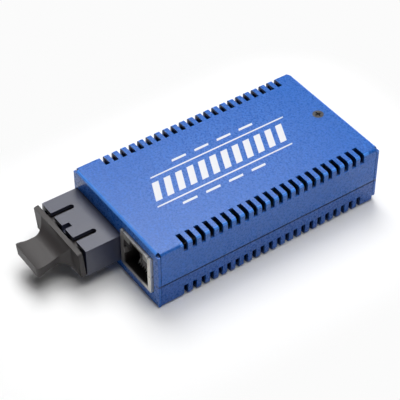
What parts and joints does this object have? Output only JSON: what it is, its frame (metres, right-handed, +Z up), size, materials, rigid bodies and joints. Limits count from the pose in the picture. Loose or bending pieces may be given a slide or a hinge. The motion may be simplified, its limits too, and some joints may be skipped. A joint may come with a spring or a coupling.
{
  "type": "fibre media converter",
  "caption": "Small vented steel box that joins a duplex optical fibre to a network cable, with a rubber dust plug in its optical ports.",
  "frame": {"origin": "centre of the tray's underside, on the surface the case rests on", "axes": "+X to the right seen from the port side, +Y from the ports to the power jack, +Z up"},
  "size_m": [0.046, 0.1079, 0.0215],
  "materials": {
    "case_paint": "blue powder coat with a fine sparkle",
    "zinc_steel": "yellowish zinc plating",
    "plated_steel": "nickel plating",
    "circuit_board": "green solder mask",
    "module_plastic": "dark grey moulded plastic",
    "dark_plastic": "black moulded plastic",
    "clip_plastic": "dark grey moulded plastic",
    "plug_rubber": "soft dark grey rubber",
    "shield_metal": "warm silver plating",
    "contact_gold": "gold plating",
    "tinned_lead": "tinned",
    "lamp_lens": "milky grey",
    "chip_plastic": "black epoxy",
    "can_metal": "drawn metal",
    "ferrite": "dark ferrite",
    "ceramic": "tan ceramic"
  },
  "bodies": {
    "case": {"top_cover": "case_paint", "bottom_tray": "case_paint", "cover_pillar": "plated_steel", "cover_screw": "zinc_steel", "board_standoffs": "plated_steel", "board_screws": "plated_steel", "main_board": "circuit_board", "transceiver_housing": "module_plastic", "transceiver_base": "module_plastic", "transceiver_board": "circuit_board", "transceiver_pins": "tinned_lead", "transmit_head": "plated_steel", "receive_head": "plated_steel", "port_latches": "clip_plastic", "lan_jack_shield": "shield_metal", "lan_jack_housing": "dark_plastic", "lan_jack_contacts": "contact_gold", "lan_jack_lamps": "lamp_lens", "power_jack_housing": "dark_plastic", "power_jack_pin": "plated_steel", "power_jack_spring": "tinned_lead", "power_jack_switch": "tinned_lead", "converter_chip": "chip_plastic", "lan_transformer": "chip_plastic", "memory_chip": "chip_plastic", "crystal": "can_metal", "bulk_capacitors": "can_metal", "voltage_regulator": "chip_plastic", "power_inductor": "ferrite", "chip_capacitors": "ceramic", "chip_resistors": "chip_plastic"},
    "dust_plug": {"dust_plug": "plug_rubber"}
  },
  "joints": [
    {"name": "dust_plug_slide", "type": "slide", "parent": "case", "child": "dust_plug", "axis": [0, -1, 0], "range_m": [0, 0.03]}
  ]
}
